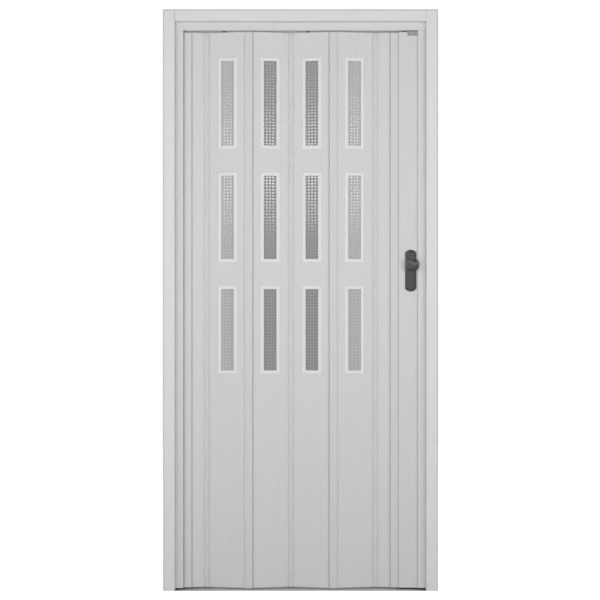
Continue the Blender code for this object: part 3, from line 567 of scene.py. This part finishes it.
def model_grip(side, facing, core):
    """The grip alone, about the depth of its core: a blunt end, a full round one and a crown on that."""
    low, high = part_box(f"{side}_lever")
    length = high.x - low.x
    height = high.z - low.z
    start, depth, share = GRIP_RINGS[0]
    blunt_depth, blunt_share = GRIP_BLUNT
    bpy.ops.object.select_all(action="DESELECT")
    bpy.ops.mesh.primitive_cube_add(size=1,
                                    location=(low.x + length * start / 2, core, JOINTS["latch_turn"].z),
                                    scale=(length * start, GRIP_THICK * blunt_depth, height * blunt_share))
    grip = start_piece(f"{side}_grip")
    bpy.ops.object.mode_set(mode="EDIT")
    pick("FACE", lambda end: end.normal.x > FACES_AXIS)
    bpy.ops.transform.resize(value=(1, depth / blunt_depth, share / blunt_share))
    for (here, deep, tall), (there, deeper, taller) in zip(GRIP_RINGS, GRIP_RINGS[1:]):
        extrude((length * (there - here), 0, 0))
        bpy.ops.transform.resize(value=(1, deeper / deep, taller / tall))
    pick("EDGE", lambda edge: abs(middle(edge).y) > OFF_AXIS and abs(middle(edge).z) > OFF_AXIS)
    round_edges(GRIP_ROUND, 2)
    bpy.ops.object.mode_set(mode="OBJECT")
    smooth = grip.modifiers.new("smooth", "SUBSURF")
    smooth.levels = 2
    smooth.render_levels = 2
    apply_all(grip)
    crown = length * (CROWN_SHARE - start / 2)
    bpy.ops.object.mode_set(mode="EDIT")
    pick("VERT", lambda vert: vert.co.y * facing > 0 and hypot(vert.co.x - crown, vert.co.z) < CROWN_TOP)
    bpy.ops.transform.translate(value=(0, facing * CROWN_RISE, 0), use_proportional_edit=True,
                                use_proportional_connected=True, proportional_edit_falloff="SPHERE",
                                proportional_size=CROWN_REACH)
    bpy.ops.object.mode_set(mode="OBJECT")
    return grip


def unite(piece, tool):
    """Joins another shape to the piece, with no needless points where they meet."""
    combine(piece, tool, "UNION")
    bpy.ops.object.mode_set(mode="EDIT")
    bpy.ops.mesh.select_all(action="SELECT")
    bpy.ops.mesh.remove_doubles(threshold=UNION_MERGE)
    bpy.ops.object.mode_set(mode="OBJECT")


def turning_grip(side, facing, finishes):
    """A grip on its neck, with the spindle on the front one."""
    low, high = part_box(f"{side}_lever")
    plate_low, plate_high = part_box(f"{side}_plate")
    face = plate_low.y if facing < 0 else plate_high.y
    front = low.y if facing < 0 else high.y
    tail = high.y if facing < 0 else low.y
    back = front - facing * GRIP_THICK
    core = (back + front) / 2
    foot = face + facing * RUN_GAP
    pivot = JOINTS["latch_turn"]
    grip = model_grip(side, facing, core)
    bpy.ops.object.select_all(action="DESELECT")
    bpy.ops.mesh.primitive_cylinder_add(vertices=NECK_SIDES, radius=NECK_RADIUS, depth=abs(core - foot),
                                        location=(pivot.x, (core + foot) / 2, pivot.z), rotation=TIPPED)
    neck = start_piece("neck")
    soften(neck, NECK_ROUND)
    apply_all(neck)
    unite(grip, neck)
    if side == "front":
        bpy.ops.object.select_all(action="DESELECT")
        bpy.ops.mesh.primitive_cube_add(size=1, location=(pivot.x, (core + tail) / 2, pivot.z),
                                        scale=(SPINDLE_SIDE, tail - core, SPINDLE_SIDE))
        unite(grip, start_piece("spindle"))
    settle(grip, "latch", finishes["handle"])
    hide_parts(f"{side}_lever")


def round_front(width):
    """Rounds the front edge of the cylinder in edit mode."""
    pick("FACE", lambda face: face.normal.y < -FACES_AXIS)
    bpy.ops.mesh.region_to_loop()
    round_edges(width, 4)


def screw_cap(finishes):
    """The oval cap that covers the plate's screw."""
    pivot = JOINTS["latch_turn"]
    half_width, half_height = CAP_SIZE
    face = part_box("front_plate")[0].y + PLATE_SINK
    bpy.ops.object.select_all(action="DESELECT")
    bpy.ops.mesh.primitive_cylinder_add(vertices=CAP_SIDES, radius=half_width, depth=CAP_RISE,
                                        location=(pivot.x, face - CAP_RISE / 2, pivot.z - CAP_DROP),
                                        rotation=TIPPED)
    cap = start_piece("front_screw_cap")
    bpy.ops.object.mode_set(mode="EDIT")
    bpy.ops.mesh.select_all(action="SELECT")
    bpy.ops.transform.resize(value=(1, 1, half_height / half_width))
    round_front(CAP_RISE * CAP_ROUND)
    bpy.ops.object.mode_set(mode="OBJECT")
    settle(cap, "lead", finishes["handle"])


# Screws

def model_screw():
    """A pan-head screw with a cross recess, at the origin, looking towards -Y."""
    bpy.ops.object.select_all(action="DESELECT")
    bpy.ops.mesh.primitive_cylinder_add(vertices=SCREW_SIDES, radius=SCREW_RADIUS, depth=SCREW_RISE,
                                        location=(0, -SCREW_RISE / 2, 0), rotation=TIPPED)
    screw = start_piece("screw_pattern")
    bpy.ops.object.mode_set(mode="EDIT")
    round_front(SCREW_ROUND)
    bpy.ops.object.mode_set(mode="OBJECT")
    for turn in (radians(45), radians(-45)):
        bpy.ops.object.select_all(action="DESELECT")
        bpy.ops.mesh.primitive_cube_add(size=1, location=(0, -SCREW_RISE, 0), rotation=(0, turn, 0),
                                        scale=CROSS_SIZE)
        combine(screw, start_piece("cross_arm"), "DIFFERENCE")
    bpy.ops.object.select_all(action="DESELECT")
    screw.select_set(True)
    bpy.ops.object.transform_apply(location=True)
    return screw


def screw_places():
    """Name, body, place and turn of every screw that can be seen."""
    pivot = JOINTS["latch_turn"]
    hanger_low, hanger_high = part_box("lead_hanger")
    plate_low, plate_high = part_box("rear_plate")
    strike_low, strike_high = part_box("strike_plate")
    channel_low, channel_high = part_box("channel_right")
    left = plate_low.x + BRACKET_SCREW_LEFT
    right = plate_high.x - BRACKET_SCREW_RIGHT
    height = hanger_low.z + BRACKET_SCREW_UP
    places = [("bracket_screw_left", "lead", (left, hanger_low.y, height), 0),
              ("bracket_screw_right", "lead", (right, hanger_low.y, height), 0)]
    for name, height in (("top", plate_high.z - PLATE_SCREW_INSET),
                         ("bottom", plate_low.z + PLATE_SCREW_INSET)):
        field = plate_high.y - PLATE_SINK
        places.append((f"plate_screw_{name}", "lead", (pivot.x, field, height), LOOKS_BACK))
    for name, height in (("top", strike_high.z - STRIKE_SCREW_INSET),
                         ("bottom", strike_low.z + STRIKE_SCREW_INSET)):
        places.append((f"strike_screw_{name}", "frame", (strike_low.x, 0, height), LOOKS_LEFT))
    for number, share in enumerate(CHANNEL_SCREWS, 1):
        height = channel_low.z + share * (channel_high.z - channel_low.z)
        web = channel_high.x - CHANNEL_WEB
        places.append((f"channel_screw_{number}", "frame", (web, 0, height), LOOKS_LEFT))
    return places


def set_screws(finishes):
    pattern = model_screw()
    for name, body, place, turn in screw_places():
        screw = copy_piece(pattern, name)
        screw.location = place
        screw.rotation_euler.z = turn
        settle(screw, body, finishes["screw"])
    drop(pattern)


# Studio

def camera():
    lens = bpy.data.cameras.new("photo_camera")
    reach = abs(CAMERA_PLACE[1]) - abs(cad_low.y)
    lens.sensor_width = SENSOR_WIDTH
    lens.lens = SENSOR_WIDTH * reach / (PHOTO_SIDE * PIXEL_SCALE)
    eye = bpy.data.objects.new("photo_camera", lens)
    eye.location = CAMERA_PLACE
    eye.rotation_euler = TIPPED
    bpy.context.scene.collection.objects.link(eye)
    bpy.context.scene.camera = eye


def softbox(name, box, way):
    """A lamp that faces the door from its own height, on the right of it or, with way -1, on the left."""
    (across, along, height), size, power = box
    place = Vector((way * across, along, height))
    lamp = bpy.data.lights.new(name, "AREA")
    lamp.shape = "RECTANGLE"
    lamp.size = size[0]
    lamp.size_y = size[1]
    lamp.energy = power
    stand = bpy.data.objects.new(name, lamp)
    stand.location = place
    stand.rotation_euler = (Vector((0, 0, height)) - place).to_track_quat("-Z", "Y").to_euler()
    stand.visible_camera = False
    bpy.context.scene.collection.objects.link(stand)


def reckon(tree, operation, *terms):
    """What a Math node makes of its terms, each a number or the socket that gives one."""
    node = tree.nodes.new("ShaderNodeMath")
    node.operation = operation
    for socket, term in zip(node.inputs, terms):
        if isinstance(term, float):
            socket.default_value = term
        else:
            tree.links.new(term, socket)
    return node.outputs["Value"]


def seen_directly(tree):
    """One for rays from the eye, in gloss or through glass, and nought for light that falls on things."""
    path = tree.nodes.new("ShaderNodeLightPath").outputs
    either = reckon(tree, "MAXIMUM", path["Is Camera Ray"], path["Is Glossy Ray"])
    return reckon(tree, "MAXIMUM", either, path["Is Transmission Ray"])


def room():
    """A white surround to look at, with a plain level of light."""
    world = bpy.data.worlds.new("studio_surround")
    world.use_nodes = True
    tree = world.node_tree
    surround = tree.nodes["Background"]
    level = tree.nodes.new("ShaderNodeMapRange")
    level.inputs["To Min"].default_value = ROOM_LIGHT
    level.inputs["To Max"].default_value = 1.0
    tree.links.new(seen_directly(tree), level.inputs["Value"])
    surround.inputs["Color"].default_value = (1, 1, 1, 1)
    tree.links.new(level.outputs["Result"], surround.inputs["Strength"])
    bpy.context.scene.world = world


def in_opening(tree):
    """One on the floor between the casing's two posts, and nought everywhere else: where the floor's
    painted shade goes.
    """
    left_low, left_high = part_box("casing_left")
    right_low, right_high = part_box("casing_right")
    place = tree.nodes.new("ShaderNodeTexCoord")
    axes = tree.nodes.new("ShaderNodeSeparateXYZ")
    tree.links.new(place.outputs["Object"], axes.inputs["Vector"])
    across = reckon(tree, "COMPARE", axes.outputs["X"],
                    (left_high.x + right_low.x) / 2, (right_low.x - left_high.x) / 2)
    along = reckon(tree, "COMPARE", axes.outputs["Y"],
                   (left_low.y + left_high.y) / 2, (left_high.y - left_low.y) / 2)
    return reckon(tree, "MULTIPLY", across, along)


def floor():
    """A pale floor that looks white and takes the door's shadow, with a painted shade under the leaf:
    between the posts its occlusion darkens it for the eye only.
    """
    bpy.ops.object.select_all(action="DESELECT")
    bpy.ops.mesh.primitive_plane_add(size=FLOOR_SIDE, location=(0, 0, cad_low.z))
    ground = start_piece("studio_floor")
    finish, shader = start_finish("studio_floor", FLOOR_PAINT, FLOOR_ROUGHNESS)
    shader.inputs["Specular IOR Level"].default_value = 0.0
    shader.inputs["Emission Color"].default_value = (1, 1, 1, 1)
    tree = finish.node_tree
    seen = seen_directly(tree)
    # painted shade: the occlusion darkens the floor's colour and glow between the posts, for the eye only
    contact = tree.nodes.new("ShaderNodeAmbientOcclusion")
    contact.inputs["Distance"].default_value = PAINTED_SHADE_REACH
    deeper = reckon(tree, "POWER", contact.outputs["AO"], PAINTED_SHADE_DEPTH)
    seen_inside = reckon(tree, "MULTIPLY", in_opening(tree), seen)
    elsewhere = reckon(tree, "SUBTRACT", 1.0, seen_inside)
    painted_shade = reckon(tree, "MAXIMUM", deeper, elsewhere)
    glow = reckon(tree, "MULTIPLY", seen, FLOOR_GLOW)
    tree.links.new(reckon(tree, "MULTIPLY", painted_shade, FLOOR_PAINT), shader.inputs["Base Color"])
    tree.links.new(reckon(tree, "MULTIPLY", glow, painted_shade), shader.inputs["Emission Strength"])
    ground.data.materials.append(finish)


# The door

finishes = make_finishes()
dress_nodes(finishes)
set_lips(finishes)
hang_panes(finishes)
for side, facing in (("front", -1), ("rear", 1)):
    handle_plate(side, facing, finishes)
    turning_grip(side, facing, finishes)
screw_cap(finishes)
set_screws(finishes)
floor()
room()
softbox("front_softbox", FRONT_BOX, 1)
softbox("rear_softbox", REAR_BOX, 1)
for name, box in (("side_softbox", SIDE_BOX), ("strip_softbox", STRIP_BOX),
                  ("top_softbox", TOP_BOX), ("wing_softbox", WING_BOX)):
    softbox(f"{name}_left", box, -1)
    softbox(f"{name}_right", box, 1)
camera()
bpy.context.scene.view_settings.view_transform = "Standard"
